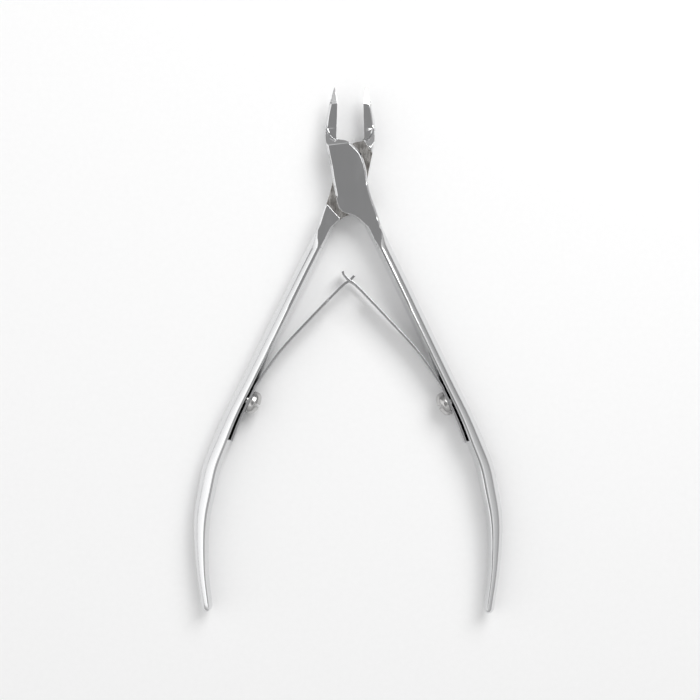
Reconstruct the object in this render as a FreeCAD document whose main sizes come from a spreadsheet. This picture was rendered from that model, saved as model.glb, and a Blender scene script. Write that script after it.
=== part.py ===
"""Cuticle nipper: two identical lap-jointed levers, a flush rivet and two leaf springs.

The nipper lies flat. +Z is the pivot axis, +Y points to the jaws, and the origin is on
the pivot axis at the underside of the joint. The front lever has the left jaw and the
right handle. The rear lever is the same forging turned over about the Y axis. Both jaws are
ground with their cutting faces on the upper side.
"""
import FreeCAD
import Part
import math
import os

Vector = FreeCAD.Vector

SIZES = [
    ("thickness", 6.4, "depth of the joint and of both handles along the pivot axis"),
    ("lap_gap", 0.04, "running gap between the two lap faces"),
    ("tip_reach", 19.44, "pivot axis to the jaw tips"),
    ("handle_reach", 92.5, "pivot axis to the handle ends"),
    ("handle_spread", 33.4, "centreline to the widest point of a handle, open"),
    ("jaw_bulge", 5.3, "centreline to the widest point of a jaw"),
    ("waist", 3.85, "half width at the pivot"),
    ("half_stroke", 9.6, "degrees each lever turns until the cutting edges meet"),
    ("blade_length", 3.4, "length of the straight cutting edge at the tip"),
    ("edge_clearance", 0.04, "gap left between each cutting edge and the centreline, closed"),
    ("neck_width", 3.05, "width of a handle from the joint to the spring screw"),
    ("grip_width", 3.7, "width of a handle where the palm holds it"),
    ("end_width", 2.2, "width of a handle at its rounded end"),
    ("end_depth", 4.6, "depth of a handle at its rounded end"),
    ("outer_round", 1.5, "radius along the outer edges of a handle"),
    ("edge_break", 0.3, "chamfer along the inner edges of a handle"),
    ("face_height", 1.7, "middle plane to the cutting face at the jaw root"),
    ("tip_height", 0.9, "middle plane to the cutting face at the tip"),
    ("back_height", 1.4, "middle plane to the back of a jaw at its root"),
    ("tip_depth", 0.8, "depth of a jaw at its tip"),
    ("land", 0.15, "depth of the flat left on a cutting edge at the tip"),
    ("grind_width", 3.6, "width of the ground back of a cutting edge, at the underside"),
    ("rivet_diameter", 3.2, "shank of the rivet"),
    ("rivet_head", 4.8, "diameter of the countersunk rivet heads"),
    ("rivet_head_depth", 0.9, "depth of a countersunk rivet head"),
    ("rivet_clearance", 0.03, "radial running clearance in the rear lever"),
    ("leaf_thickness", 0.45, "thickness of the spring strip"),
    ("leaf_width", 4.2, "width of the spring strip"),
    ("leaf_gap", 0.05, "gap between a leaf and its handle"),
    ("head_gap", 0.1, "gap between a leaf and the head of its screw"),
    ("tongue_width", 1.9, "width of the narrowed end of the left leaf"),
    ("slot_clearance", 0.2, "gap on each side of the tongue in the slot"),
    ("slot_length", 4.4, "length of the slot in the right leaf, across the nipper"),
    ("crossing_reach", 21.75, "pivot axis to the crossing of the two leaves"),
    ("screw_reach", 47.4, "pivot axis to the spring screws, along Y"),
    ("leaf_tail", 8.6, "screw to the tail end of a leaf, along Y"),
    ("leaf_lift", 4.0, "screw to the point where a leaf leaves its handle, along Y"),
    ("screw_diameter", 2.0, "shank of a spring screw"),
    ("screw_depth", 2.2, "length of a screw's shank in the handle"),
    ("screw_clearance", 0.2, "radial gap between a screw and the hole in a leaf"),
    ("head_diameter", 5.1, "diameter of a screw head"),
    ("head_rim", 0.8, "height of the straight rim of a screw head"),
    ("head_height", 2.2, "height of a domed screw head"),
    ("drive_slot_width", 0.7, "width of the slot in a screw head"),
    ("drive_slot_depth", 0.9, "depth of the slot in a screw head"),
]

STATIONS = 12
SWELL_START = 0.4
SWELL_FULL = 0.66
NOSE_ANGLES = (25, 48, 68, 84)

document = FreeCAD.newDocument("cuticle_nipper")
sheet = document.addObject("Spreadsheet::Sheet", "sizes")
for line, (alias, value, meaning) in enumerate(SIZES, start=1):
    sheet.set("A%d" % line, alias)
    sheet.set("B%d" % line, repr(value))
    sheet.set("C%d" % line, meaning)
    sheet.setAlias("B%d" % line, alias)
document.recompute()


def size(alias):
    """One driving dimension as a plain number."""
    return float(sheet.get(alias))


def bound(alias):
    """The expression that binds a property to one cell."""
    return "%s.%s" % (sheet.Name, alias)


def plane_of(body, role):
    """One of the body's own origin planes."""
    for feature in body.Origin.OriginFeatures:
        if feature.Role == role:
            return feature
    raise ValueError(role)


def new_body(name):
    body = document.addObject("PartDesign::Body", name)
    body.Label = name
    return body


def new_sketch(body, name, role, geometry, offset=None):
    """A sketch on one of the body's origin planes, moved by offset in the plane's frame."""
    sketch = body.newObject("Sketcher::SketchObject", name)
    sketch.AttachmentSupport = [(plane_of(body, role), "")]
    sketch.MapMode = "FlatFace"
    if offset is not None:
        sketch.AttachmentOffset = offset
    sketch.addGeometry(geometry, False)
    return sketch


def polygon(points):
    """Line segments that close a loop through 2-D points."""
    corners = [Vector(x, y, 0) for x, y in points]
    return [Part.LineSegment(a, b) for a, b in zip(corners, corners[1:] + corners[:1])]


def curve_through(points, leave=None, arrive=None):
    """A smooth curve through 2-D points, with its end directions where both are given."""
    curve = Part.BSplineCurve()
    vectors = [Vector(x, y, 0) for x, y in points]
    if leave is None:
        curve.interpolate(vectors)
    else:
        curve.interpolate(Points=vectors, InitialTangent=leave, FinalTangent=arrive)
    return curve


def side_of(curve, parameter, distance):
    """The point of a curve at a parameter, moved square to it by distance."""
    point = curve.value(parameter)
    along = curve.tangent(parameter)[0]
    return (point.x - along.y * distance, point.y + along.x * distance)


def pocket(body, name, sketch, length, through_both=False, reverse=False):
    """A pocket that must take material away."""
    before = body.Tip.Shape.Volume
    cut = body.newObject("PartDesign::Pocket", name)
    cut.Profile = sketch
    cut.Length = length
    cut.Midplane = through_both
    cut.Reversed = reverse
    document.recompute()
    if not cut.Shape.Volume < before - 1e-6:
        raise ValueError(name + " takes nothing away")
    return cut


def turn_over(body):
    """Turns a body over about the Y axis, so that its top becomes the underside."""
    body.Placement = FreeCAD.Placement(Vector(0, 0, 0), FreeCAD.Rotation(Vector(0, 1, 0), 180))
    body.setExpression("Placement.Base.z", bound("thickness"))


# ---------------------------------------------------------------- lever outline

def handle_line():
    """The middle line of the right handle, from the joint to its end."""
    spread = size("handle_spread") - size("grip_width") / 2
    reach = size("handle_reach")
    shares = [
        (0.163, 0.111), (0.361, 0.247), (0.672, 0.464),
        (0.865, 0.608), (0.963, 0.720), (1.0, 0.832), (0.960, 0.988),
    ]
    return curve_through([(spread * x, -reach * y) for x, y in shares])


def handle_half_width(share):
    """Half the width of a handle at a share of its length."""
    neck = size("neck_width")
    grip = size("grip_width")
    end = size("end_width")
    if share < SWELL_START:
        return neck / 2
    if share < SWELL_FULL:
        rise = math.sin(math.pi / 2 * (share - SWELL_START) / (SWELL_FULL - SWELL_START)) ** 2
        return (neck + (grip - neck) * rise) / 2
    fall = math.sin(math.pi / 2 * (share - SWELL_FULL) / (1 - SWELL_FULL)) ** 2
    return (grip + (end - grip) * fall) / 2


def handle_stations():
    """Stations along the right handle: share of the length, and parameter on its middle line."""
    line = handle_line()
    first, last = line.FirstParameter, line.LastParameter
    return [(step / STATIONS, first + (last - first) * step / STATIONS) for step in range(STATIONS + 1)]


def handle_side(outer):
    """The outer or the inner edge of the right handle, as points from the joint down."""
    line = handle_line()
    points = []
    for share, parameter in handle_stations():
        half = handle_half_width(share)
        points.append(side_of(line, parameter, half if outer else -half))
    return points


def inner_face():
    """The inner edge of the right handle as one curve, from the joint down."""
    return curve_through(handle_side(outer=False))


def parameter_at(curve, y):
    """The parameter where a curve that runs down reaches a height."""
    low, high = curve.FirstParameter, curve.LastParameter
    for _ in range(60):
        middle = (low + high) / 2
        if curve.value(middle).y > y:
            low = middle
        else:
            high = middle
    return (low + high) / 2


def cutting_edge(reach):
    """The point of the left cutting edge at a height: it meets the centreline when closed."""
    angle = math.radians(size("half_stroke"))
    gap = size("edge_clearance")
    return (-(reach * math.tan(angle) + gap / math.cos(angle)), reach)


def lever_outline():
    """The lever from above without its handle: left jaw, joint plate and neck."""
    tip = size("tip_reach")
    bulge = size("jaw_bulge")
    waist = size("waist")
    outer = handle_side(outer=True)[0]
    inner = handle_side(outer=False)[0]
    edge_top = cutting_edge(tip)
    edge_low = cutting_edge(tip - size("blade_length"))
    back_of_tip = (edge_top[0] - 0.1, tip)
    root = (-waist * 0.72, 8.35)
    jaw_back = [back_of_tip, (-0.86 * bulge, tip - 3.7), (-bulge, tip - 8.2),
                (-0.95 * bulge, 7.0), (-waist - 0.2, 2.0)]
    plate_left = [(-waist - 0.2, 2.0), (-waist + 0.15, -0.2), (-waist + 1.0, -4.5), (-2.3, -6.5)]
    plate_low = [(-2.3, -6.5), (-1.2, -7.4), (0.3, -7.8), (1.75, -8.5), inner]
    plate_top = [(waist, -1.2), (waist - 0.43, 1.9), (waist - 1.5, 5.0), (0.4, 7.2)]
    throat = [(0.4, 7.2), (-1.1, 7.9), root]
    blade = [root, (-2.9, 10.6), (-2.8, 13.4), edge_low]
    shoulder = [outer, (waist + 1.75, -6.75), (waist + 0.9, -4.5), (waist, -1.2)]
    line = handle_line()
    down = line.tangent(line.FirstParameter)[0]
    return [
        Part.LineSegment(Vector(*edge_top, 0), Vector(*back_of_tip, 0)),
        curve_through(jaw_back),
        curve_through(plate_left),
        curve_through(plate_low, Vector(1, -1.1, 0), down),
        Part.LineSegment(Vector(*inner, 0), Vector(*outer, 0)),
        curve_through(shoulder, -down, Vector(-0.12, 1, 0)),
        curve_through(plate_top),
        curve_through(throat),
        curve_through(blade),
        Part.LineSegment(Vector(*edge_low, 0), Vector(*edge_top, 0)),
    ]


def turn_square_to(along):
    """The turn about Z that sets a sketch on the XZ plane square to a direction."""
    return math.degrees(math.atan2(along.x, -along.y))


def screw_seat():
    """Where the screw meets the handle's inner face: the point and the turn about Z."""
    face = inner_face()
    parameter = parameter_at(face, -size("screw_reach"))
    point = face.value(parameter)
    along = face.tangent(parameter)[0]
    inward = Vector(along.y, -along.x, 0)
    return point, inward, turn_square_to(inward)


def upright(point, turn):
    """Offset that stands a sketch on the XZ plane at a point of the middle plane, turned about Z."""
    middle = size("thickness") / 2
    return FreeCAD.Placement(Vector(point.x, middle, -point.y),
                             FreeCAD.Rotation(Vector(0, 1, 0), turn))


# ---------------------------------------------------------------- levers

def make_lever(name, bore_radius, head_radius, face):
    """One lever, modelled as the front one, with its cutting face up for 1 and down for -1."""
    body = new_body(name)
    pad = body.newObject("PartDesign::Pad", name + "_blank")
    pad.Profile = new_sketch(body, name + "_outline", "XY_Plane", lever_outline())
    pad.setExpression("Length", bound("thickness"))
    document.recompute()
    loft_handle(body, name)
    cut_lap(body, name)
    taper_jaw(body, name, face)
    grind_edge(body, name, face)
    drill_joint(body, name, bore_radius, head_radius)
    drill_screw_hole(body, name)
    return body


def handle_section(width, depth, rounding, chamfer):
    """The section of a handle: flat inner face, rounded outer edges, centred on its middle."""
    half = width / 2
    tall = depth / 2
    bend = rounding * (1 - math.sqrt(0.5))
    low_arc = Part.Arc(Vector(half - rounding, -tall, 0), Vector(half - bend, -tall + bend, 0),
                       Vector(half, -tall + rounding, 0))
    high_arc = Part.Arc(Vector(half, tall - rounding, 0), Vector(half - bend, tall - bend, 0),
                        Vector(half - rounding, tall, 0))
    corners = [(half - rounding, tall), (-half + chamfer, tall), (-half, tall - chamfer),
               (-half, -tall + chamfer), (-half + chamfer, -tall), (half - rounding, -tall)]
    points = [Vector(x, y, 0) for x, y in corners]
    flats = [Part.LineSegment(a, b) for a, b in zip(points, points[1:])]
    outer_flat = Part.LineSegment(Vector(half, -tall + rounding, 0), Vector(half, tall - rounding, 0))
    return flats + [low_arc, outer_flat, high_arc]


def handle_sketch(body, name, point, turn, sizes):
    return new_sketch(body, name, "XZ_Plane", handle_section(*sizes), upright(point, turn))


def loft_handle(body, name):
    """The handle: a loft through its stations, and a rounded nose at its end."""
    line = handle_line()
    deep = size("thickness")
    end_deep = size("end_depth")
    rounding = size("outer_round")
    chamfer = size("edge_break")
    sections = []
    for number, (share, parameter) in enumerate(handle_stations()):
        width = 2 * handle_half_width(share)
        slim = max(0.0, (share - 0.3) / 0.7) ** 3
        depth = deep + (end_deep - deep) * slim
        radius = min(chamfer + (rounding - chamfer) * min(1.0, share / 0.2), 0.45 * width)
        turn = turn_square_to(line.tangent(parameter)[0])
        label = "%s_station_%d" % (name, number)
        sections.append(handle_sketch(body, label, line.value(parameter), turn,
                                      (width, depth, radius, chamfer)))
    add_loft(body, name + "_handle", sections, ruled=False)
    middle = line.value(line.LastParameter)
    along = line.tangent(line.LastParameter)[0]
    nose = [sections[-1]]
    for number, angle in enumerate(NOSE_ANGLES):
        narrow = math.cos(math.radians(angle))
        point = middle + along * (width / 2 * math.sin(math.radians(angle)))
        label = "%s_nose_%d" % (name, number)
        sizes = (width * narrow, depth * (0.6 + 0.4 * narrow), radius * narrow, chamfer * narrow)
        nose.append(handle_sketch(body, label, point, turn, sizes))
    add_loft(body, name + "_nose", nose, ruled=True)


def add_loft(body, name, sections, ruled):
    loft = body.newObject("PartDesign::AdditiveLoft", name)
    loft.Profile = sections[0]
    loft.Sections = sections[1:]
    loft.Ruled = ruled
    document.recompute()


def cut_lap(body, name):
    """Takes the lower half away between the two shoulders of the lap."""
    region = [(-9.0, -0.45), (-4.74, 5.24), (-2.5, 8.23), (-1.2, 10.0), (9.0, 10.0),
              (9.0, -1.23), (4.98, -5.56), (2.3, -8.45), (0.6, -10.3), (-9.0, -10.3)]
    sketch = new_sketch(body, name + "_lap", "XY_Plane", polygon(region))
    cut = pocket(body, name + "_lap_pocket", sketch, 1.0, reverse=True)
    cut.setExpression("Length", "(%s + %s) / 2" % (bound("thickness"), bound("lap_gap")))
    document.recompute()


def taper_jaw(body, name, face):
    """Thins the jaw towards its tip. The cutting face is the top for 1, the underside for -1."""
    middle = size("thickness") / 2
    reach = size("tip_reach")
    front = [(6.4, middle), (8.6, size("face_height")), (15.6, size("face_height") - 0.2),
             (reach, size("tip_height"))]
    back = [(6.2, middle), (9.6, size("back_height")), (reach, size("tip_depth") - size("tip_height"))]
    loops = []
    for profile, side in ((front, face), (back, -face)):
        clear = [(reach + 1, profile[-1][1]), (reach + 1, middle + 1), (profile[0][0], middle + 1)]
        loops += polygon([(y, middle + side * height) for y, height in profile + clear])
    sketch = new_sketch(body, name + "_taper", "YZ_Plane", loops)
    pocket(body, name + "_taper_pocket", sketch, 40.0, through_both=True)


def grind_edge(body, name, face):
    """Grinds the back of the jaw away up to the cutting edge, which lies in the cutting face."""
    middle = size("thickness") / 2
    edge = cutting_edge(size("tip_reach") - size("blade_length"))[0]
    start = 9.4
    high = middle + face * (size("tip_height") - size("land"))
    low = middle - face * middle
    loop = polygon([(edge, high), (edge - size("grind_width"), low), (0.0, low), (0.0, high)])
    offset = FreeCAD.Placement(Vector(0, 0, -start), FreeCAD.Rotation())
    sketch = new_sketch(body, name + "_bevel", "XZ_Plane", loop, offset)
    pocket(body, name + "_bevel_pocket", sketch, size("tip_reach") - start + 1)


def drill_joint(body, name, bore_radius, head_radius):
    """The rivet's bore with its countersink on the top face."""
    tall = size("thickness")
    circle = Part.Circle(Vector(0, 0, 0), Vector(0, 0, 1), bore_radius)
    sketch = new_sketch(body, name + "_bore", "XY_Plane", [circle])
    pocket(body, name + "_bore_pocket", sketch, tall + 1, reverse=True)
    depth = size("rivet_head_depth")
    groove = body.newObject("PartDesign::Groove", name + "_countersink")
    profile = polygon([(0, tall - depth), (bore_radius, tall - depth), (head_radius, tall), (0, tall)])
    groove.Profile = new_sketch(body, name + "_countersink_profile", "XZ_Plane", profile)
    groove.ReferenceAxis = (groove.Profile[0], ["V_Axis"])
    groove.Angle = 360
    document.recompute()


def drill_screw_hole(body, name):
    """The blind hole for the spring screw, square to the handle's inner face."""
    point, _, turn = screw_seat()
    circle = Part.Circle(Vector(0, 0, 0), Vector(0, 0, 1), size("screw_diameter") / 2)
    sketch = new_sketch(body, name + "_screw_hole", "XZ_Plane", [circle], upright(point, turn))
    pocket(body, name + "_screw_pocket", sketch, size("screw_depth"))


# ---------------------------------------------------------------- rivet

def make_rivet():
    """The rivet: a shank with a countersunk head flush with each face."""
    body = new_body("pivot_rivet")
    tall = size("thickness")
    shank = size("rivet_diameter") / 2
    head = size("rivet_head") / 2
    depth = size("rivet_head_depth")
    half = polygon([(0, 0), (head, 0), (shank, depth), (shank, tall - depth), (head, tall), (0, tall)])
    turned = body.newObject("PartDesign::Revolution", "pivot_rivet_turned")
    turned.Profile = new_sketch(body, "pivot_rivet_profile", "XZ_Plane", half)
    turned.ReferenceAxis = (turned.Profile[0], ["V_Axis"])
    turned.Angle = 360
    document.recompute()
    return body


# ---------------------------------------------------------------- leaf springs

def leaf_line(curl):
    """The handle side of a leaf on the right: along the handle, then free to its tip."""
    face = inner_face()
    gap = size("leaf_gap")
    tail = parameter_at(face, -size("screw_reach") - size("leaf_tail"))
    lift = parameter_at(face, -size("screw_reach") + size("leaf_lift"))
    seated = [side_of(face, tail + (lift - tail) * step / 4, -gap) for step in range(5)]
    start = seated[-1]
    crossing = -size("crossing_reach")
    rise = crossing - start[1]
    free = [(start[0] * 0.755, start[1] + rise * 0.31),
            (start[0] * 0.42, start[1] + rise * 0.635), (start[0] * 0.09, start[1] + rise * 0.94)]
    tip = [(0.0, crossing), (-1.1, crossing + 1.15)]
    if curl:
        tip.append((-1.5, crossing + 2.0))
    return curve_through(seated + free + tip)


def leaf_outline(curl):
    """The closed outline of a leaf from above."""
    line = leaf_line(curl)
    first, last = line.FirstParameter, line.LastParameter
    steps = 24
    thick = size("leaf_thickness")
    away = [side_of(line, first + (last - first) * step / steps, thick) for step in range(steps + 1)]
    ends = [line.value(first), line.value(last)]
    return [
        line,
        Part.LineSegment(ends[1], Vector(*away[-1], 0)),
        curve_through(away[::-1]),
        Part.LineSegment(Vector(*away[0], 0), ends[0]),
    ]


def make_leaf(name, curl):
    """One leaf with its screw hole, modelled on the right."""
    body = new_body(name)
    pad = body.newObject("PartDesign::Pad", name + "_strip")
    low = (size("thickness") - size("leaf_width")) / 2
    offset = FreeCAD.Placement(Vector(0, 0, low), FreeCAD.Rotation())
    pad.Profile = new_sketch(body, name + "_outline", "XY_Plane", leaf_outline(curl), offset)
    pad.setExpression("Length", bound("leaf_width"))
    document.recompute()
    point, inward, turn = screw_seat()
    radius = size("screw_diameter") / 2 + size("screw_clearance")
    circle = Part.Circle(Vector(0, 0, 0), Vector(0, 0, 1), radius)
    start = point + inward * 2
    sketch = new_sketch(body, name + "_hole", "XZ_Plane", [circle], upright(start, turn))
    pocket(body, name + "_hole_pocket", sketch, 4.0)
    return body


def cut_across(body, name, loops):
    """Cuts shapes drawn in the XZ plane through a leaf."""
    sketch = new_sketch(body, name, "XZ_Plane", loops)
    pocket(body, name + "_pocket", sketch, 2 * size("handle_reach"), through_both=True)


def make_slotted_leaf():
    """The right leaf: a slot near its curled tip takes the other leaf's tongue."""
    body = make_leaf("leaf_spring_right", curl=True)
    middle = size("thickness") / 2
    half = size("tongue_width") / 2 + size("slot_clearance")
    left = -0.65
    right = left + size("slot_length")
    window = polygon([(left, middle - half), (right, middle - half),
                      (right, middle + half), (left, middle + half)])
    cut_across(body, "leaf_spring_right_slot", window)
    return body


def make_tongue_leaf():
    """The left leaf: its end is narrowed to a tongue, and it is turned over to the left."""
    body = make_leaf("leaf_spring_left", curl=False)
    middle = size("thickness") / 2
    half = size("tongue_width") / 2
    wide = size("leaf_width")
    shoulder = 4.2
    loops = []
    for side in (1, -1):
        loops += polygon([(-9.0, middle + side * half), (shoulder, middle + side * half),
                          (shoulder + 1.2, middle + side * wide), (-9.0, middle + side * wide)])
    cut_across(body, "leaf_spring_left_tongue", loops)
    turn_over(body)
    return body


# ---------------------------------------------------------------- spring screws

def make_screw(name):
    """A spring screw on the right: a domed head with a slot, and a shank in the handle."""
    body = new_body(name)
    point, inward, turn = screw_seat()
    under = size("leaf_gap") + size("leaf_thickness") + size("head_gap")
    head = size("head_diameter") / 2
    shank = size("screw_diameter") / 2
    rim = size("head_rim")
    tall = size("head_height")
    length = size("screw_depth")
    dome = head * 0.45
    arc = Part.Arc(Vector(head, under + rim, 0), Vector(head * 0.8, under + rim + (tall - rim) * 0.66, 0),
                   Vector(dome, under + tall, 0))
    half = [
        Part.LineSegment(Vector(0, -length, 0), Vector(shank, -length, 0)),
        Part.LineSegment(Vector(shank, -length, 0), Vector(shank, under, 0)),
        Part.LineSegment(Vector(shank, under, 0), Vector(head, under, 0)),
        Part.LineSegment(Vector(head, under, 0), Vector(head, under + rim, 0)),
        arc,
        Part.LineSegment(Vector(dome, under + tall, 0), Vector(0, under + tall, 0)),
        Part.LineSegment(Vector(0, under + tall, 0), Vector(0, -length, 0)),
    ]
    turned = body.newObject("PartDesign::Revolution", name + "_turned")
    turned.Profile = new_sketch(body, name + "_profile", "XZ_Plane", half)
    turned.ReferenceAxis = (turned.Profile[0], ["V_Axis"])
    turned.Angle = 360
    document.recompute()
    width = size("drive_slot_width") / 2
    floor = under + tall - size("drive_slot_depth")
    window = polygon([(-width, floor), (width, floor), (width, under + tall + 1), (-width, under + tall + 1)])
    sketch = new_sketch(body, name + "_drive_slot", "XZ_Plane", window)
    pocket(body, name + "_drive_pocket", sketch, 4 * head, through_both=True)
    lean = FreeCAD.Rotation(Vector(0, 0, 1), inward)
    middle = Vector(point.x, point.y, size("thickness") / 2)
    body.Placement = FreeCAD.Placement(middle, lean)
    return body


def mirror_screw(body):
    """Turns a finished screw over to the left lever."""
    over = FreeCAD.Placement(Vector(0, 0, size("thickness")), FreeCAD.Rotation(Vector(0, 1, 0), 180))
    body.Placement = over.multiply(body.Placement)


# ---------------------------------------------------------------- assembly

shank_radius = size("rivet_diameter") / 2
head_radius = size("rivet_head") / 2
running = size("rivet_clearance")
front_lever = make_lever("front_lever", shank_radius, head_radius, face=1)
rear_lever = make_lever("rear_lever", shank_radius + running, head_radius + running, face=-1)
turn_over(rear_lever)
pivot_rivet = make_rivet()
leaf_spring_right = make_slotted_leaf()
leaf_spring_left = make_tongue_leaf()
spring_screw_right = make_screw("spring_screw_right")
spring_screw_left = make_screw("spring_screw_left")
mirror_screw(spring_screw_left)
pieces = [front_lever, rear_lever, pivot_rivet, leaf_spring_left, leaf_spring_right,
          spring_screw_left, spring_screw_right]
document.recompute()

for thing in document.Objects:
    if "Invalid" in thing.State or "Error" in thing.State:
        raise RuntimeError(thing.Name + " did not build")
for piece in pieces:
    if piece.Shape.isNull() or not piece.Shape.isValid() or len(piece.Shape.Solids) != 1:
        raise RuntimeError(piece.Label + " is not one valid solid")

os.makedirs("parts", exist_ok=True)
for piece in pieces:
    piece.Shape.exportStep("parts/%s.step" % piece.Label)
    box = piece.Shape.BoundBox
    print("%-20s volume %8.3f  x %7.2f %7.2f  y %7.2f %7.2f  z %5.2f %5.2f" % (
        piece.Label, piece.Shape.Volume, box.XMin, box.XMax, box.YMin, box.YMax, box.ZMin, box.ZMax))
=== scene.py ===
"""A cuticle nipper in polished stainless steel, lying open on a pale table."""
import math
import bpy
from mathutils import Matrix, Vector


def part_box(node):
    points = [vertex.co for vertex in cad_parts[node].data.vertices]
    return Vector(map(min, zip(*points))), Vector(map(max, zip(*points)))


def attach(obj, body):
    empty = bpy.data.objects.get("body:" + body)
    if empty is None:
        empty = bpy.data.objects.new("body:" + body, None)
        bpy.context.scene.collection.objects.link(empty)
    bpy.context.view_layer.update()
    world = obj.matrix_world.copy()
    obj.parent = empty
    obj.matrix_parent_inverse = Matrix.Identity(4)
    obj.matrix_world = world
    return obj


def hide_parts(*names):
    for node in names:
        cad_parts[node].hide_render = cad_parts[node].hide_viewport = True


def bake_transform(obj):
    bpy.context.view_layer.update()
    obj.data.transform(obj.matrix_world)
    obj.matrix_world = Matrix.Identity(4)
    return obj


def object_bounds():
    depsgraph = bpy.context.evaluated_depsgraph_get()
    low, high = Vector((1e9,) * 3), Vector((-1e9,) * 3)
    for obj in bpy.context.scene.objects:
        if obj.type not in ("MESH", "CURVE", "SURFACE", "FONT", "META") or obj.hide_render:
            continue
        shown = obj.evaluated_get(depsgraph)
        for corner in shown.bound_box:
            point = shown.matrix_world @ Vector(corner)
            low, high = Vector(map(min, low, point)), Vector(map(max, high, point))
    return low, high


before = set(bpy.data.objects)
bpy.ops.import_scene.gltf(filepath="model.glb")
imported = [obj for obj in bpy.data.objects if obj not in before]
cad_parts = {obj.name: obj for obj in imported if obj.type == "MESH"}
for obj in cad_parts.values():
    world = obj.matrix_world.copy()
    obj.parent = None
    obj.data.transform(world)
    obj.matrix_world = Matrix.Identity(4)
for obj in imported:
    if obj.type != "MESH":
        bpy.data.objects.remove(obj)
cad_low, cad_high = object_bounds()

# ---------------------------------------------------------------- sizes, in millimetres
# Pieces are modelled in millimetres and brought down to metres when they are finished.
MM = 0.001

rivet_low, rivet_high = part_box("pivot_rivet")
lever_low, lever_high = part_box("front_lever")
leaf_low, leaf_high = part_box("leaf_spring_right")

# The whole tool. The rivet is the origin, and the centreline runs along Y.
THICKNESS = (rivet_high.z - rivet_low.z) / MM
MIDDLE = THICKNESS / 2
TIP_REACH = lever_high.y / MM
HANDLE_REACH = -lever_low.y / MM
HANDLE_SPREAD = lever_high.x / MM + 0.24
HALF_STROKE = math.radians(9.6)

# Joint plate.
WAIST = 3.85
LAP_GAP = 0.04
PLATE_CHAMFER = 0.42
PLATE_TOP = 8.8
NECK_CHAMFER = 0.45
NECK_ROOT = 2.0
SEAMS_END = -12.5

# Jaw.
JAW_BULGE = 5.3
JAW_START = 9.6
BLADE_LENGTH = 3.4
BLADE_FACE = 4.70
BLADE_LAND_TOP = 4.5
FACE_CHAMFER = 0.26
FACE_CHAMFER_END = 16.9
LEAN_START = 8.5
JAW_LEAN_TOP = 0.62
JAW_LEAN_LOW = -0.42
PAST = 9.0  # where cutting tools end, well clear of the piece

# Handle.
NECK_WIDTH = 3.05
GRIP_WIDTH = 3.7
END_WIDTH = 2.2
END_DEPTH = 4.6
NECK_SHARE = 0.45
GRIP_SHARE = 0.69
END_SHARE = 0.30
FACET_TOP = -11.5
FACET_POINT = -14.1
NECK_FULLNESS = 5.0
CREST = -0.60
CREST_CHAMFER = 0.12
CREST_SHOULDER = 0.94
SLOPE_FOOT = 0.68
CROWN_STEPS = 14

# Rivet. Its ends lie just under the faces, which are ground and polished over it.
RIVET_HEAD = (rivet_high.x - rivet_low.x) / 2 / MM
RIVET_SHANK = 1.6
RIVET_HEAD_DEPTH = 0.9
RIVET_FIT = 0.01
POLISH_SKIN = 0.05

# Leaf springs.
LEAF_TAIL = leaf_low.y / MM
LEAF_LOW = leaf_low.z / MM
LEAF_HIGH = leaf_high.z / MM
LEAF_THICKNESS = 0.5
LEAF_GAP = 0.05
LEAF_CORNER = 0.75
TAIL_POINTS = 10
LEAF_STEPS = 5
LIFT_OFF = -43.4
CROSSING = -21.75
TONGUE_HALF = 0.95
SLOT_HALF = 1.15

# Spring screws.
SCREW_PLACE = -47.4
SCREW_SHANK = 1.0
SCREW_HOLE = SCREW_SHANK + 0.2
SCREW_DEPTH = 0.3
HEAD_RADIUS = 2.55
HEAD_UNDERSIDE = 0.6
HEAD_BREAK = 0.12
HEAD_RIM = 0.8
HEAD_HEIGHT = 2.2
HEAD_STEPS = 11
DRIVE_WIDTH = 0.7
DRIVE_DEPTH = 0.9

# Edges broken by tumbling, the angle from which an edge counts as sharp, and the lathe's steps.
EDGE_BREAK = 0.05
RIVET_BREAK = 0.01
LEVER_SHARP = 25
SCREW_SHARP = 35
LEAF_SHARP = 40
SMOOTH_ANGLE = 20
BORE_SIDES = 96
HEAD_SIDES = 72
HOLE_SIDES = 48


# ---------------------------------------------------------------- modelling helpers

def object_mode():
    """Leaves edit mode, if a piece is in it."""
    if bpy.context.object and bpy.context.object.mode != "OBJECT":
        bpy.ops.object.mode_set(mode="OBJECT")


def only(piece):
    """Makes one piece the only selected one."""
    object_mode()
    bpy.ops.object.select_all(action="DESELECT")
    piece.select_set(True)
    bpy.context.view_layer.objects.active = piece


def select(piece, kind, test=None):
    """Opens a piece in edit mode with the parts that pass a test selected, or all of them."""
    only(piece)
    bpy.ops.object.mode_set(mode="EDIT")
    bpy.ops.mesh.select_mode(type=kind)
    bpy.ops.mesh.select_all(action="SELECT" if test is None else "DESELECT")
    if test is None:
        return
    bpy.ops.object.mode_set(mode="OBJECT")
    mesh = piece.data
    if kind == "VERT":
        for vertex in mesh.vertices:
            vertex.select = test(vertex.co)
    if kind == "EDGE":
        for edge in mesh.edges:
            a, b = (mesh.vertices[number].co for number in edge.vertices)
            edge.select = test(a, b)
    bpy.ops.object.mode_set(mode="EDIT")


def face_outwards(piece):
    """Merges doubles and turns every face outwards."""
    select(piece, "VERT")
    bpy.ops.mesh.remove_doubles(threshold=0.0004)
    bpy.ops.mesh.dissolve_degenerate(threshold=0.0002)
    bpy.ops.mesh.select_all(action="SELECT")
    bpy.ops.mesh.normals_make_consistent(inside=False)
    object_mode()


def ring(name, points):
    """A flat face through a loop of 3-D points, ready to be pulled into a solid."""
    object_mode()
    bpy.ops.object.select_all(action="DESELECT")
    bpy.ops.mesh.primitive_circle_add(vertices=len(points), radius=1, fill_type="NGON")
    piece = bpy.context.object
    piece.name = name
    for vertex, point in zip(piece.data.vertices, points):
        vertex.co = point
    return piece


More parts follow.
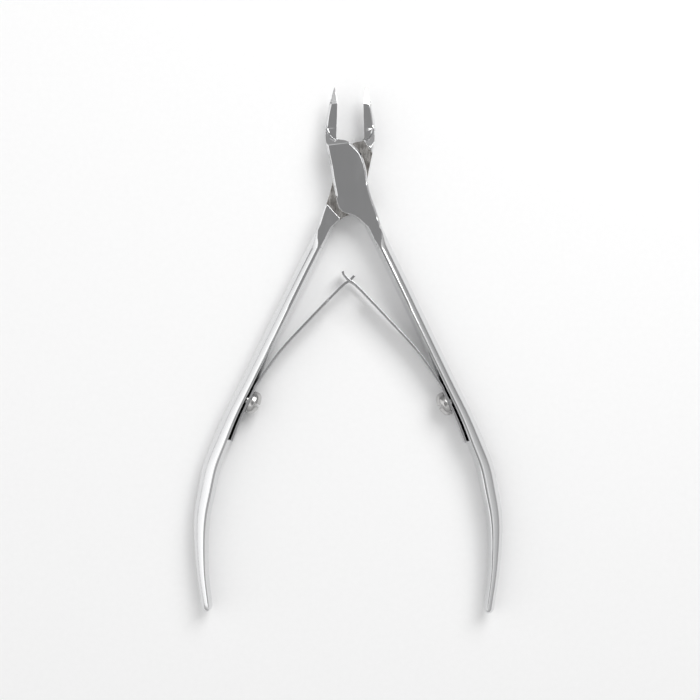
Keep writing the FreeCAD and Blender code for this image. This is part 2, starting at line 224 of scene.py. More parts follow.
def pull(name, points, run):
    """A solid made by pulling a flat loop of points along a run."""
    piece = ring(name, points)
    select(piece, "FACE")
    bpy.ops.mesh.extrude_region_move(TRANSFORM_OT_translate={"value": run})
    face_outwards(piece)
    return piece


def plate(name, outline, low, high):
    """A plate between two heights from a flat outline."""
    return pull(name, [(x, y, low) for x, y in outline], (0, 0, high - low))


def spline(t, p, q, r, s):
    """One coordinate at a share t of the way from q to r, with p before them and s after."""
    return 0.5 * (2 * q + (r - p) * t + (2 * p - 5 * q + 4 * r - s) * t ** 2
                  + (3 * q - p - 3 * r + s) * t ** 3)


def smooth_line(points, steps):
    """A smooth line through flat points, with a number of steps between each two."""
    first = tuple(2 * a - b for a, b in zip(points[0], points[1]))
    last = tuple(2 * a - b for a, b in zip(points[-1], points[-2]))
    run = [first, *points, last]
    line = []
    for a, b, c, d in zip(run, run[1:], run[2:], run[3:]):
        for step in range(steps):
            line.append(tuple(spline(step / steps, *near) for near in zip(a, b, c, d)))
    line.append(tuple(points[-1]))
    return line


def bevel(piece, test, width, segments=1):
    """Bevels the edges that pass a test."""
    select(piece, "EDGE", test)
    bpy.ops.mesh.bevel(offset=width, segments=segments, affect="EDGES", clamp_overlap=False)
    object_mode()


def slice_off(piece, place, normal):
    """Cuts away what lies beyond a plane and closes the cut."""
    select(piece, "FACE")
    bpy.ops.mesh.bisect(plane_co=place, plane_no=normal, use_fill=True, clear_outer=True,
                        threshold=0.0001)
    object_mode()


def combine(piece, tool, operation, crossing=False):
    """Joins a piece with a tool or cuts it by one. The tool is used up."""
    only(piece)
    step = piece.modifiers.new(operation.lower(), "BOOLEAN")
    step.operation = operation
    step.solver = "EXACT"
    step.use_self = crossing
    step.object = tool
    bpy.ops.object.modifier_apply(modifier=step.name)
    bpy.data.objects.remove(tool)
    face_outwards(piece)


def clear_seams(piece):
    """Takes out the edges that lie inside the flat faces of the joint and the jaw."""
    select(piece, "EDGE", lambda a, b: min(a.y, b.y) > SEAMS_END)
    bpy.ops.mesh.dissolve_limited(angle_limit=math.radians(0.15))
    object_mode()


def turned(name, profile, sides):
    """A solid turned on the lathe from (radius, height) steps, standing on the origin."""
    radius, height = profile[0]
    turns = [2 * math.pi * side / sides for side in range(sides)]
    piece = ring(name, [(radius * math.cos(t), radius * math.sin(t), height) for t in turns])
    select(piece, "FACE")
    for wide, high in profile[1:]:
        bpy.ops.mesh.extrude_region_move(TRANSFORM_OT_translate={"value": (0, 0, high - height)})
        bpy.ops.transform.resize(value=(wide / radius, wide / radius, 1),
                                 center_override=(0, 0, high))
        radius, height = wide, high
    face_outwards(piece)
    return piece


def mirror(piece):
    """Mirrors a piece to the other side of the centreline."""
    select(piece, "VERT")
    bpy.ops.transform.resize(value=(-1, 1, 1), center_override=(0, 0, 0))
    face_outwards(piece)


def finish(piece, width, angle):
    """Brings a piece down to metres, breaks its sharp edges and evens the shading."""
    select(piece, "VERT")
    bpy.ops.transform.resize(value=(MM, MM, MM), center_override=(0, 0, 0))
    only(piece)
    piece.data.name = piece.name
    select(piece, "EDGE", lambda a, b: False)
    bpy.ops.mesh.edges_select_sharp(sharpness=math.radians(angle))
    object_mode()
    for edge in piece.data.edges:
        a, b = (piece.data.vertices[number].co for number in edge.vertices)
        in_bore = max(a.xy.length, b.xy.length) < (RIVET_HEAD + 0.1) * MM
        if in_bore or (a - b).length < 2 * width * MM:
            edge.select = False
    bpy.ops.object.mode_set(mode="EDIT")
    bpy.ops.mesh.bevel(offset=width * MM, segments=2, affect="EDGES", clamp_overlap=False)
    object_mode()
    bpy.ops.object.shade_smooth_by_angle(angle=math.radians(SMOOTH_ANGLE))
    normals = piece.modifiers.new("even_shading", "WEIGHTED_NORMAL")
    normals.weight = 100
    normals.keep_sharp = True
    bpy.ops.object.modifier_apply(modifier=normals.name)


# ---------------------------------------------------------------- the lever's lines

def direction(line, place):
    """Direction of a line at one of its points."""
    before = Vector(line[max(place - 1, 0)][:2])
    after = Vector(line[min(place + 1, len(line) - 1)][:2])
    return (after - before).normalized()


def handle_line():
    """Middle line of the right handle, closer stepped at the neck."""
    spread = HANDLE_SPREAD - GRIP_WIDTH / 2
    shares = [
        (0.163, 0.111), (0.361, 0.247), (0.5165, 0.3555), (0.672, 0.464), (0.785, 0.542),
        (0.865, 0.608), (0.926, 0.662), (0.963, 0.720), (0.992, 0.775), (1.0, 0.832),
        (0.990, 0.91), (0.960, 0.988),
    ]
    fine = smooth_line([(spread * x, -HANDLE_REACH * y) for x, y in shares], 18)
    neck = fine[:19]
    rest = fine[21::3]
    return neck + rest


def handle_width(share):
    """Width of the handle at a share of its reach."""
    if share < NECK_SHARE:
        return NECK_WIDTH
    if share < GRIP_SHARE:
        swelling = (share - NECK_SHARE) / (GRIP_SHARE - NECK_SHARE)
        return NECK_WIDTH + (GRIP_WIDTH - NECK_WIDTH) * math.sin(math.pi / 2 * swelling) ** 2
    tapering = (share - GRIP_SHARE) / END_SHARE
    return GRIP_WIDTH + (END_WIDTH - GRIP_WIDTH) * math.sin(math.pi / 2 * tapering) ** 2


def neck_share(y):
    """1 where the neck is still flat, falling to 0 where the crown begins."""
    return min(1.0, max(0.0, (y - FACET_POINT) / (FACET_TOP - FACET_POINT)))


def crown_height(y):
    """Half the depth of the handle: just over the plate at the neck, thinner to the end."""
    proud = 0.03
    neck_proud = 0.25
    if y > FACET_POINT:
        return MIDDLE + proud + neck_proud * neck_share(y)
    thinning = (FACET_POINT - y) / (FACET_POINT + HANDLE_REACH)
    return MIDDLE + proud - (MIDDLE - END_DEPTH / 2) * thinning ** 2.5


def crown_section(fullness):
    """Unit section: flat inner face, slope up to a chamfered crest, crown down to the outside."""
    upper = [(-1.0, 0.0), (-1.0, SLOPE_FOOT), (CREST - CREST_CHAMFER, CREST_SHOULDER)]
    for step in range(CROWN_STEPS + 1):
        across = math.sin(math.pi / 2 * step / CROWN_STEPS)
        high = max(0.0, 1 - across ** fullness) ** (1 / fullness)
        upper.append((CREST + (1.0 - CREST) * across, high))
    return upper + [(x, -z) for x, z in reversed(upper[1:-1])]


def handle_rows():
    """Stations of the handle: middle, direction, half width, half depth, fullness."""
    line = handle_line()
    rows = []
    for place, (x, y) in enumerate(line):
        half = handle_width(-y / HANDLE_REACH) / 2
        fullness = 2.0 + (NECK_FULLNESS - 2.0) * neck_share(y)
        rows.append((Vector((x, y)), direction(line, place), half, crown_height(y), fullness))
    neck, down, *shape = rows[0]
    rows.insert(0, (neck - down * NECK_ROOT, down, *shape))
    end, down, half, depth, fullness = rows[-1]
    nose_depth = 0.45
    for angle in (20, 40, 57, 71, 82):
        turn = math.radians(angle)
        rows.append((end + down * half * math.sin(turn), down, half * math.cos(turn),
                     depth * (nose_depth + (1 - nose_depth) * math.cos(turn)), fullness))
    return rows


def make_handle(rows):
    """The right handle, pulled station by station along its line and cut flat at the neck."""
    piece = None
    for centre, down, half, depth, fullness in rows:
        outward = Vector((-down.y, down.x))
        points = []
        for across, high in crown_section(fullness):
            place = centre + outward * (across * half)
            points.append((place.x, place.y, MIDDLE + high * depth))
        if piece is None:
            piece = ring("handle", points)
            select(piece, "FACE")
            continue
        bpy.ops.mesh.extrude_region_move(TRANSFORM_OT_translate={"value": (0, -1, 0)})
        bpy.ops.object.mode_set(mode="OBJECT")
        fresh = [vertex for vertex in piece.data.vertices if vertex.select]
        for vertex, point in zip(fresh, points):
            vertex.co = point
        bpy.ops.object.mode_set(mode="EDIT")
    face_outwards(piece)
    return piece


def cutting_edge(reach):
    """A point of the left cutting edge, which stops just short of the centreline when closed."""
    short = 0.04
    return (-(reach * math.tan(HALF_STROKE) + short), reach)


def blank_outline(rows):
    """Jaw, joint plate and neck of a lever as one loop."""
    centre, down, half, _, _ = rows[1]
    outward = Vector((-down.y, down.x))
    inside_handle = centre + down * 0.3
    outer = tuple(inside_handle + outward * (half - 0.04))
    inner = tuple(inside_handle - outward * (half - 0.6))
    tip = cutting_edge(TIP_REACH)
    heel = cutting_edge(TIP_REACH - BLADE_LENGTH)
    back = smooth_line([(tip[0] - 0.1, tip[1]), (-0.86 * JAW_BULGE, TIP_REACH - 3.7),
                        (-JAW_BULGE, TIP_REACH - 8.2), (-0.95 * JAW_BULGE, 7.0),
                        (-WAIST - 0.2, 2.0), (-WAIST + 0.15, -0.2), (-WAIST + 1.0, -4.5),
                        (-2.3, -6.5)], 7)
    low = smooth_line([(-2.3, -6.5), (-1.2, -7.4), (0.3, -7.8), (1.75, -8.5), inner], 5)
    right = smooth_line([outer, (WAIST + 1.75, -6.75), (WAIST + 0.9, -4.5), (WAIST, -1.2),
                         (WAIST - 0.43, 1.9), (WAIST - 1.5, 5.0), (0.4, 7.2)], 6)
    throat = smooth_line([(0.4, 7.2), (-1.1, 7.9), (-2.77, 8.35), (-2.88, 10.6), (-2.8, 13.4),
                          heel], 5)
    return back[:-1] + low + right[:-1] + throat + [tip]


# ---------------------------------------------------------------- levers

def face_cut():
    """Tool that lowers the jaw's upper side: a sloping root, the face, and the drop to the tip."""
    root = 4.25
    past_tip = 22.45
    slant = 2.3
    profile = [(root, 7.16), (10.05, BLADE_FACE), (15.05, BLADE_FACE), (18.95, 4.02),
               (past_tip, 3.4), (past_tip, PAST), (root, PAST)]
    return pull("face_cut", [(-PAST, y, z) for y, z in profile], (2 * PAST, slant, 0))


def face_pocket():
    """Tool for the deeper end of the face, which meets the root in a curved, leaning wall."""
    wall = smooth_line([(-6.6, 11.9), (-5.35, 11.05), (-4.85, 10.4), (-4.4, 9.35),
                        (-3.5, 8.45), (-2.6, 8.1)], 4)
    outline = wall + [(-1.7, 9.2), (-1.7, 12.0), (-6.6, 12.3)]
    top = 8.0
    lean = 1.4
    tool = plate("face_pocket", outline, BLADE_FACE + 0.004, top)
    select(tool, "VERT", lambda p: p.z > top - 0.1)
    bpy.ops.transform.translate(value=(-lean, -lean, 0))
    object_mode()
    return tool


def back_cut():
    """Tool that thins the jaw from its underside."""
    past_tip = 23
    profile = [(6.2, 0), (JAW_START, 1.8), (past_tip, 3.85), (past_tip, -3), (3.8, -3), (3.8, -1.27)]
    return pull("back_cut", [(-PAST, y, z) for y, z in profile], (2 * PAST, 0, 0))


def edge_grind(start, end):
    """Wedge that leaves a land under the cutting edge and clears the metal below it."""
    x, y, top = start
    land = 0.03
    reach = 1.5
    foot = 0.4
    points = [(x - land, y, top), (x - reach, y, foot), (x + reach, y, foot), (x + reach, y, top)]
    return pull("edge_grind", points, tuple(b - a for a, b in zip(start, end)))


def lap_space(front):
    """The half of the joint that the other lever fills."""
    region = [(-PAST, -0.45), (-4.74, 5.24), (-2.5, 8.23), (-1.2, 10.0), (PAST, 10.0),
              (PAST, -1.23), (4.98, -5.56), (2.3, -8.45), (0.6, -10.3), (-PAST, -10.3)]
    if front:
        return plate("lap", region, -2.0, MIDDLE + LAP_GAP / 2)
    return plate("lap", region, MIDDLE - LAP_GAP / 2, THICKNESS + 2.0)


def rivet_profile(fit):
    """Lathe profile of the rivet, whose ends lie just under the polished faces."""
    low = POLISH_SKIN - fit
    high = THICKNESS - POLISH_SKIN + fit
    return [(RIVET_HEAD + fit, low), (RIVET_SHANK + fit, RIVET_HEAD_DEPTH),
            (RIVET_SHANK + fit, THICKNESS - RIVET_HEAD_DEPTH), (RIVET_HEAD + fit, high)]


def rivet_bore():
    """Tool for the rivet's countersunk hole."""
    return turned("bore", rivet_profile(RIVET_FIT), BORE_SIDES)


def lean_jaw_back(body):
    """Leans the blank's outer wall in along the jaw, so that the face is narrower than the back."""
    select(body, "VERT", lambda p: p.x < -3.3 and p.y > LEAN_START)
    object_mode()
    for vertex in body.data.vertices:
        if vertex.select:
            grown = min(1.0, (vertex.co.y - LEAN_START) / 2.8)
            faded = min(1.0, 0.12 + (TIP_REACH - vertex.co.y) / 4.5)
            vertex.co.x += grown * faded * (JAW_LEAN_TOP if vertex.co.z > MIDDLE else JAW_LEAN_LOW)


def chamfer_face(body):
    """Narrow chamfer between the jaw's face and its outer wall."""
    def on_outer_edge(p):
        inner = min(cutting_edge(p.y)[0], -2.8)
        on_face = 4.2 < p.z < BLADE_FACE + 0.01
        return JAW_START < p.y < FACE_CHAMFER_END and on_face and p.x < inner - 0.4

    def runs_along(a, b):
        return on_outer_edge(a) and on_outer_edge(b) and abs(a.z - b.z) < 0.3 * (a - b).length
    bevel(body, runs_along, FACE_CHAMFER, 2)


def mark_lap(body):
    """Gives the ground lap between the levers the second finish of the piece."""
    body.data.materials.append(None)
    body.data.materials.append(None)
    for face in body.data.polygons:
        level = abs(face.center.z - MIDDLE) < LAP_GAP and abs(face.normal.z) > 0.99
        face.material_index = 1 if level else 0


def chamfer_plate(body):
    """Chamfers the joint plate's two sides and the outer side of the neck."""
    def rim(a, b):
        return abs(a.z - b.z) < 0.001 and max(a.y, b.y) < PLATE_TOP

    def plate_edge(a, b):
        left = max(a.x, b.x) < -2.95 and min(a.y, b.y) > -5.2
        right = min(a.x, b.x) > -0.1 and min(a.y, b.y) > -1.5 and max(a.y, b.y) < 7.6
        return rim(a, b) and (left or right)

    def neck_edge(a, b):
        return rim(a, b) and min(a.x, b.x) > 3.8 and -10.6 < min(a.y, b.y) and max(a.y, b.y) < -1.1
    bevel(body, plate_edge, PLATE_CHAMFER)
    bevel(body, neck_edge, NECK_CHAMFER, 2)


def grind_edge(body):
    """Grinds below the cutting edge, first at its heel and then along the blade."""
    heel_reach = TIP_REACH - BLADE_LENGTH
    heel = (*cutting_edge(heel_reach), BLADE_LAND_TOP)
    beyond = (*cutting_edge(TIP_REACH + 0.6), 3.75)
    start = (-2.86, JAW_START, BLADE_LAND_TOP)
    overlap = (heel[0], heel_reach + 0.05, BLADE_LAND_TOP)
    combine(body, edge_grind(start, overlap), "DIFFERENCE")
    combine(body, edge_grind(heel, beyond), "DIFFERENCE")


def make_lever(name, front):
    """One whole lever, modelled with its jaw on the left and its handle on the right."""
    rows = handle_rows()
    body = plate(name, blank_outline(rows), 0.0, THICKNESS)
    lean_jaw_back(body)
    chamfer_plate(body)
    handle = make_handle(rows)
    slice_off(handle, (0, 0, THICKNESS), (0, 0, 1))
    slice_off(handle, (0, 0, 0), (0, 0, -1))
    face_outwards(handle)
    combine(body, handle, "UNION", True)
    combine(body, face_cut(), "DIFFERENCE")
    combine(body, face_pocket(), "DIFFERENCE")
    combine(body, back_cut(), "DIFFERENCE")
    clear_seams(body)
    combine(body, lap_space(front), "DIFFERENCE")
    mark_lap(body)
    combine(body, rivet_bore(), "DIFFERENCE")
    grind_edge(body)
    chamfer_face(body)
    if not front:
        mirror(body)
    return body


# ---------------------------------------------------------------- rivet, leaf springs and screws

def make_rivet():
    """The pivot rivet: a shank between two countersunk heads."""
    return turned("rivet", rivet_profile(0.0), BORE_SIDES)


def inner_face_line():
    """The flat inner face of the right handle as a line."""
    line = []
    for centre, down, half, _, _ in handle_rows():
        outward = Vector((-down.y, down.x))
        line.append(tuple(centre - outward * half))
    return line


def point_at(line, y):
    """Point and direction where a line passes a height."""
    for place, (a, b) in enumerate(zip(line, line[1:])):
        if a[1] >= y >= b[1]:
            share = (a[1] - y) / (a[1] - b[1])
            return Vector(a).lerp(Vector(b), share), direction(line, place)
    raise ValueError("the line doesn't reach that height")


def leaf_line(curled):
    """Middle line of the right leaf, from its tail on the handle to its tip past the crossing."""
    face = inner_face_line()
    points = []
    tail = LEAF_TAIL + 0.2
    for step in range(TAIL_POINTS):
        y = tail + (LIFT_OFF - tail) * step / (TAIL_POINTS - 1)
        place, down = point_at(face, y)
        inward = Vector((down.y, -down.x))
        points.append(tuple(place + inward * (LEAF_GAP + LEAF_THICKNESS / 2)))
    x, y = points[-1]
    rise = CROSSING - y
    points += [(x * 0.755, y + rise * 0.31), (x * 0.42, y + rise * 0.635),
               (x * 0.09, y + rise * 0.94), (0.0, CROSSING), (-1.1, CROSSING + 1.15)]
    if curled:
        points.append((-1.5, CROSSING + 2.0))
    return smooth_line(points, LEAF_STEPS)


def lift_off_point():
    """Where the right leaf leaves its handle."""
    return leaf_line(False)[(TAIL_POINTS - 1) * LEAF_STEPS]


def leaf_loop(line):
    """Both sides of a leaf as one loop."""
    one_side = []
    other_side = []
    for place, point in enumerate(line):
        run = direction(line, place)
        off = Vector((-run.y, run.x)) * LEAF_THICKNESS / 2
        one_side.append(tuple(Vector(point) + off))
        other_side.append(tuple(Vector(point) - off))
    return one_side + other_side[::-1]


def box(name, low, high):
    """A block between two corners, as a cutting tool."""
    outline = [(low[0], low[1]), (high[0], low[1]), (high[0], high[1]), (low[0], high[1])]
    return plate(name, outline, low[2], high[2])


def make_leaf(name, curled):
    """A leaf with rounded tail corners and a hole for its screw."""
    line = leaf_line(curled)
    leaf = plate(name, leaf_loop(line), LEAF_LOW, LEAF_HIGH)
    near = 0.4
    tail = line[0][1] + near
    end = Vector(line[-1])

    def corner(a, b):
        at_tail = max(a.y, b.y) < tail
        at_tip = (a.xy - end).length < near and (b.xy - end).length < near
        return abs(a.z - b.z) < 0.001 and (a - b).length > near and (at_tail or at_tip)
    bevel(leaf, corner, LEAF_CORNER, 4)
    through = 3 * LEAF_THICKNESS
    hole = turned("hole", [(SCREW_HOLE, -through), (SCREW_HOLE, through)], HOLE_SIDES)
    stand_on_handle(hole)
    combine(leaf, hole, "DIFFERENCE")
    return leaf


def square_faces(piece):
    """Divides the long edge faces of a strip into short four-sided ones."""
    select(piece, "FACE")
    bpy.ops.mesh.quads_convert_to_tris(quad_method="BEAUTY", ngon_method="BEAUTY")
    bpy.ops.mesh.tris_convert_to_quads()
    object_mode()


def make_slotted_leaf():
    """The leaf whose curled end has a slot for the other leaf's tongue."""
    leaf = make_leaf("leaf_right", True)
    slot = box("slot", (-0.65, CROSSING - 6, MIDDLE - SLOT_HALF),
               (3.75, CROSSING + 0.75, MIDDLE + SLOT_HALF))
    combine(leaf, slot, "DIFFERENCE")
    square_faces(leaf)
    return leaf


def make_tongue_leaf():
    """The leaf whose end is cut down to a tongue with sloping shoulders."""
    leaf = make_leaf("leaf_left", False)
    start = CROSSING - 8
    for side in (-1, 1):
        near = MIDDLE + side * TONGUE_HALF
        far = MIDDLE + side * 3.5
        points = [(-3.0, start, near), (4.2, start, near), (5.4, start, far), (-3.0, start, far)]
        combine(leaf, pull("shoulder", points, (0, 12, 0)), "DIFFERENCE")
    square_faces(leaf)
    mirror(leaf)
    return leaf


def stand_on_handle(piece):
    """Stands a turned piece on the right handle's inner face, its axis square to the face."""
    place, down = point_at(inner_face_line(), SCREW_PLACE)
    inward = Vector((down.y, -down.x, 0))
    along = Vector((down.x, down.y, 0))
    turn = Matrix((along, inward.cross(along), inward)).transposed().to_4x4()
    only(piece)
    piece.matrix_world = Matrix.Translation((place.x, place.y, MIDDLE)) @ turn
    bpy.ops.object.transform_apply(location=True, rotation=True, scale=True)


def make_screw(name):
    """A pan-headed slotted screw: short shank, straight rim, domed top with a drive slot."""
    rim_top = HEAD_UNDERSIDE + HEAD_RIM
    top = HEAD_UNDERSIDE + HEAD_HEIGHT
    profile = [(SCREW_SHANK, -SCREW_DEPTH), (SCREW_SHANK, HEAD_UNDERSIDE),
               (HEAD_RADIUS - HEAD_BREAK, HEAD_UNDERSIDE),
               (HEAD_RADIUS, HEAD_UNDERSIDE + HEAD_BREAK), (HEAD_RADIUS, rim_top)]
    for step in range(1, HEAD_STEPS):
        turn = math.pi / 2 * step / HEAD_STEPS
        profile.append((HEAD_RADIUS * math.cos(turn), rim_top + (top - rim_top) * math.sin(turn)))
    screw = turned(name, profile, HEAD_SIDES)
    past_head = 4
    drive = box("drive", (-DRIVE_WIDTH / 2, -past_head, top - DRIVE_DEPTH),
                (DRIVE_WIDTH / 2, past_head, top + 1))
    combine(screw, drive, "DIFFERENCE")
    stand_on_handle(screw)
    return screw


# ---------------------------------------------------------------- finishes

class Wire:
    """A number that changes over a surface, which expressions are written with."""

    def __init__(self, tree, socket):
        self.tree = tree
        self.socket = socket

    def reckon(self, operation, *terms):
        made = self.tree.node("ShaderNodeMath", {"operation": operation}, dict(enumerate(terms)))
        return Wire(self.tree, made.outputs[0])

    def __add__(self, other):
        return self.reckon("ADD", self, other)

    def __radd__(self, other):
        return self.reckon("ADD", other, self)

    def __mul__(self, other):
        return self.reckon("MULTIPLY", self, other)

    def __rmul__(self, other):
        return self.reckon("MULTIPLY", other, self)

    def sine(self):
        """Its sine."""
        return self.reckon("SINE", self)

    def between(self, low, high):
        """0 below the low value, 1 above the high one."""
        made = self.tree.node("ShaderNodeMapRange", {"interpolation_type": "SMOOTHSTEP"},
                              {"Value": self, "From Min": low, "From Max": high})
        return Wire(self.tree, made.outputs[0])


def set_stops(ramp, stops):
    """Puts grey stops on a ramp, each with its place and level."""
    for number, (place, level) in enumerate(stops):
        stop = ramp.elements[number] if number < 2 else ramp.elements.new(place)
        stop.position = place
        stop.color = (level, level, level, 1)


class NodeTree:
    """A tree of shader nodes, and the one way that nodes are added to it."""

    def __init__(self, tree):
        self.tree = tree

    def node(self, kind, settings, sockets):
        """Adds a node with its settings, then gives its sockets their values or links."""
        made = self.tree.nodes.new(kind)
        for key, value in settings.items():
            if key == "stops":
                set_stops(made.color_ramp, value)
            else:
                setattr(made, key, value)
        for key, value in sockets.items():
            self.feed(made.inputs[key], value)
        return made

    def feed(self, socket, value):
        """Gives a socket a value or a link."""
        if isinstance(value, Wire):
            value = value.socket
        if isinstance(value, bpy.types.NodeSocket):
            self.tree.links.new(value, socket)
        else:
            socket.default_value = value


class Finish(NodeTree):
    """A material, and the patterns it is mixed from."""

    def __init__(self, name, metallic=1.0):
        self.material = bpy.data.materials.new(name)
        self.material.use_nodes = True
        super().__init__(self.material.node_tree)
        self.shader = self.tree.nodes["Principled BSDF"]
        self.shader.inputs["Metallic"].default_value = metallic
        self.place = self.node("ShaderNodeTexCoord", {}, {}).outputs["Object"]

    def stretched(self, scale, angle=0.0):
        """The surface's own coordinates, turned about Z and stretched."""
        made = self.node("ShaderNodeMapping", {"vector_type": "POINT"},
                         {"Vector": self.place, "Rotation": (0, 0, angle), "Scale": scale})
        return made.outputs[0]

    def clouds(self, scale, detail=2.0, vector=None):
        """Soft noise between 0 and 1."""
        made = self.node("ShaderNodeTexNoise", {},
                         {"Vector": vector or self.place, "Scale": scale, "Detail": detail})
        return Wire(self, made.outputs["Fac"])

    def rings_about(self, centre, axis, spacing):
        """Turning marks round an axis, between 0 and 1."""
        off = self.node("ShaderNodeVectorMath", {"operation": "SUBTRACT"},
                        {0: self.place, 1: centre})
        away = self.node("ShaderNodeVectorMath", {"operation": "CROSS_PRODUCT"},
                         {0: off.outputs[0], 1: axis})
        far = self.node("ShaderNodeVectorMath", {"operation": "LENGTH"}, {0: away.outputs[0]})
        turns = Wire(self, far.outputs["Value"]) * (2 * math.pi / spacing)
        return turns.sine() * 0.5 + 0.5

    def colour_between(self, dark, light, share):
        """Base colour, from dark to light by a share."""
        made = self.node("ShaderNodeMix", {"data_type": "RGBA"},
                         {0: share, 6: (*dark, 1), 7: (*light, 1)})
        self.feed(self.shader.inputs["Base Color"], made.outputs[2])

    def roughness(self, share):
        """How blurred its reflections are, from 0 to 1."""
        self.feed(self.shader.inputs["Roughness"], share)

    def relief(self, height, depth, strength):
        """Raises fine marks of a depth in metres."""
        made = self.node("ShaderNodeBump", {},
                         {"Height": height, "Distance": depth, "Strength": strength})
        self.feed(self.shader.inputs["Normal"], made.outputs[0])


def polished_steel(name, angle):
    """Buffed stainless steel with hairlines along the handle and a faint haze from handling."""
    finish_ = Finish(name)
    hairlines = finish_.clouds(1.0, 3.0, finish_.stretched((9000, 260, 9000), angle))
    haze = finish_.clouds(95.0, 3.0)
    smears = finish_.clouds(420.0, 2.0, finish_.stretched((1, 0.35, 1), angle)).between(0.52, 0.7)
    finish_.colour_between((0.70, 0.705, 0.715), (0.80, 0.80, 0.805), haze * 0.6 + hairlines * 0.4)
    finish_.roughness(0.075 + haze * 0.05 + hairlines * 0.05 + smears * 0.04)
    finish_.relief(hairlines, 0.0000012, 0.35)
    return finish_.material


def lap_steel():
    """The lap between the levers: ground across, not buffed, darker and a little browner than the
    buffed faces.
    """
    finish_ = Finish("ground_lap")
    across = finish_.clouds(1.0, 2.0, finish_.stretched((2200, 350, 1), math.radians(-35)))
    patches = finish_.clouds(520.0, 2.0)
    tone = (across * 0.5 + patches * 0.5).between(0.32, 0.68)
    finish_.colour_between((0.34, 0.32, 0.30), (0.68, 0.665, 0.645), tone)
    finish_.roughness(0.20 + tone * 0.10)
    finish_.relief(across, 0.000004, 0.6)
    return finish_.material


def spring_steel():
    """Rolled spring strip: darker than the levers, brushed along its length."""
    finish_ = Finish("spring_strip")
    brushed = finish_.clouds(1.0, 3.0, finish_.stretched((160, 160, 15000)))
    haze = finish_.clouds(260.0, 3.0)
    finish_.colour_between((0.50, 0.50, 0.51), (0.68, 0.68, 0.69), brushed * 0.5 + haze * 0.5)
    finish_.roughness(0.16 + brushed * 0.12 + haze * 0.05)
    finish_.relief(brushed, 0.000002, 0.5)
    return finish_.material


def screw_steel(name, centre, axis):
    """Nickel-bright screw steel with turning marks round its axis."""
    finish_ = Finish(name)
    marks = finish_.rings_about(centre, axis, 0.00009)
    haze = finish_.clouds(600.0, 3.0)
    finish_.colour_between((0.42, 0.415, 0.41), (0.62, 0.615, 0.61), marks * 0.3 + haze * 0.7)
    finish_.roughness(0.13 + marks * 0.05 + haze * 0.1)
    finish_.relief(marks, 0.000002, 0.3)
    return finish_.material


def hand_over(piece, body, node, slot, *finishes):
    """Gives a finished piece its finishes and its body, and hides the CAD node it stands for."""
    while len(piece.data.materials) < len(finishes):
        piece.data.materials.append(None)
    for place, finish_ in enumerate(finishes):
        piece.data.materials[place] = finish_
    if body:
        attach(piece, body)
    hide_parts(node)


# ---------------------------------------------------------------- assembly

# Each side: its sign along X, its hand, and the body that its screw and leaf are fixed to.
SIDES = ((1, "right", "front_lever"), (-1, "left", "rear_lever"))
HAIRLINE_ANGLE = math.radians(20)


def build_levers():
    """Both levers. The rear one is the front one's mirror image, with the other half of the lap."""
    lap = lap_steel()
    for name, angle in (("front", -HAIRLINE_ANGLE), ("rear", HAIRLINE_ANGLE)):
        lever = make_lever("lever_" + name, name == "front")
        finish(lever, EDGE_BREAK, LEVER_SHARP)
        hand_over(lever, name + "_lever", name + "_lever", "polished_steel",
                  polished_steel("buffed_" + name, angle), lap)


def build_rivet():
    """The rivet, fixed to the front lever."""
    rivet = make_rivet()
    finish(rivet, RIVET_BREAK, LEVER_SHARP)
    hand_over(rivet, "front_lever", "pivot_rivet", "polished_steel",
              polished_steel("buffed_rivet", -HAIRLINE_ANGLE))


def build_screws():
    """A screw on each handle, with turning marks about its own axis."""
    place, down = point_at(inner_face_line(), SCREW_PLACE)
    for side, hand, body in SIDES:
        screw = make_screw("screw_" + hand)
        if side < 0:
            mirror(screw)
        finish(screw, EDGE_BREAK, SCREW_SHARP)
        centre = (side * place.x * MM, place.y * MM, MIDDLE * MM)
        axis = (side * down.y, -down.x, 0)
        hand_over(screw, body, "spring_screw_" + hand, "screw_steel",
                  screw_steel("turned_" + hand, centre, axis))


def build_leaves():
    """The two leaves."""
    strip = spring_steel()
    x, y = lift_off_point()
    ease = 0.8
    drift = 0.9
    for (side, hand, body), make in zip(SIDES, (make_slotted_leaf, make_tongue_leaf)):
        leaf = make()
        finish(leaf, EDGE_BREAK, LEAF_SHARP)
        hand_over(leaf, None, "leaf_spring_" + hand, "spring_steel", strip)
        start = (side * x * MM, (y - ease) * MM, MIDDLE * MM)
        end = (side * (x - drift) * MM, (y + ease) * MM, MIDDLE * MM)
        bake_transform(leaf)


build_levers()
build_rivet()
build_screws()
build_leaves()


# ---------------------------------------------------------------- table, light, camera

def lay_table():
    """A pale matt table under the object."""
    object_mode()
    bpy.ops.object.select_all(action="DESELECT")
    below = 0.00002
    bpy.ops.mesh.primitive_plane_add(size=4.0, location=(0, 0, cad_low.z - below))
    table = bpy.context.object
    table.name = "table_top"
    paper = Finish("white_paper", 0.0)
    grain = paper.clouds(900.0, 3.0)
    paper.colour_between((0.90, 0.90, 0.90), (0.93, 0.93, 0.93), grain)
    paper.shader.inputs["Roughness"].default_value = 0.9
    paper.shader.inputs["Specular IOR Level"].default_value = 0.1
    table.data.materials.append(paper.material)


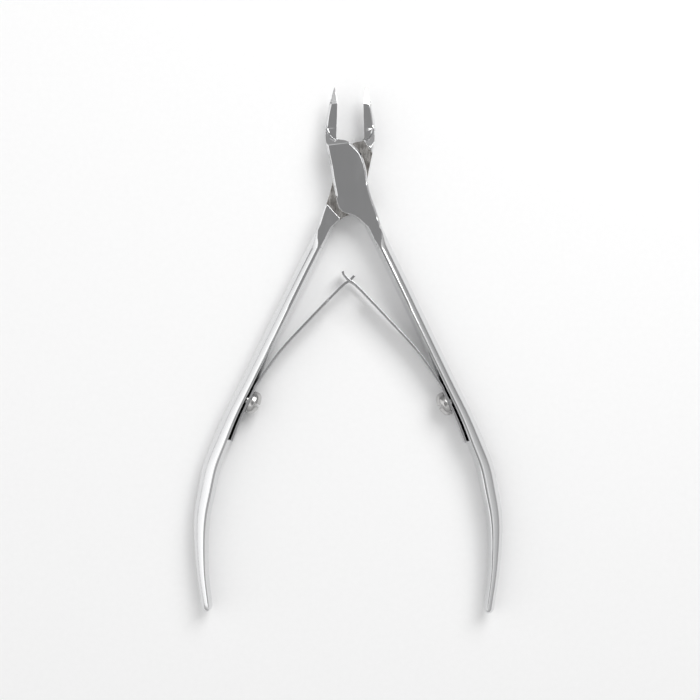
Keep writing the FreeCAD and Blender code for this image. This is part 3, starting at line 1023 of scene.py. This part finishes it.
def hang_tent():
    """Pale tent round the table: a dim patch overhead with a bright ring, dimmer behind."""
    world = bpy.data.worlds.new("tent")
    bpy.context.scene.world = world
    world.use_nodes = True
    tent = NodeTree(world.node_tree)
    background = tent.tree.nodes["Background"].inputs
    where = tent.node("ShaderNodeTexCoord", {}, {})
    apart = tent.node("ShaderNodeSeparateXYZ", {}, {0: where.outputs["Generated"]})
    stops = ((0.0, 0.42), (0.22, 0.46), (0.5, 0.58), (0.70, 0.66), (0.84, 0.72), (0.872, 1.05),
             (0.905, 0.95), (0.93, 0.50), (0.972, 0.285))
    height = tent.node("ShaderNodeValToRGB", {"stops": stops}, {"Fac": apart.outputs["Z"]})
    dimmer_behind = {"From Min": 0.1, "From Max": 0.7, "To Min": 1.0, "To Max": 0.55}
    shade = tent.node("ShaderNodeMapRange", {}, {"Value": apart.outputs["Y"], **dimmer_behind})
    tent.feed(background["Color"], height.outputs["Color"])
    tent.feed(background["Strength"], shade.outputs["Result"])


def softbox(name, place, width, height, power):
    """A soft rectangular lamp aimed at the middle of the tool."""
    data = bpy.data.lights.new(name, "AREA")
    data.shape = "RECTANGLE"
    data.size = width
    data.size_y = height
    data.energy = power
    lamp = bpy.data.objects.new(name, data)
    bpy.context.scene.collection.objects.link(lamp)
    lamp.location = place
    middle = Vector((0, -0.036, 0))
    aim = middle - Vector(place)
    lamp.rotation_euler = aim.to_track_quat("-Z", "Y").to_euler()


def set_camera():
    """Camera straight above, close enough to show a little of the handles' inner faces."""
    distance = 0.29
    view_width = 0.1496
    tilt = math.radians(0.28)
    data = bpy.data.cameras.new("camera")
    data.sensor_width = 36.0
    data.lens = data.sensor_width * distance / view_width
    data.clip_start = 0.01
    camera = bpy.data.objects.new("camera", data)
    bpy.context.scene.collection.objects.link(camera)
    camera.location = (0.0002, -0.0365, distance + MIDDLE * MM)
    camera.rotation_euler = (0, 0, tilt)
    bpy.context.scene.camera = camera
    bpy.context.scene.view_settings.view_transform = "Standard"


lay_table()
hang_tent()
softbox("key_light", place=(0.22, 0.30, 0.42), width=0.34, height=0.34, power=1.9)
softbox("left_fill", place=(-0.40, -0.02, 0.34), width=0.60, height=0.80, power=0.9)
set_camera()
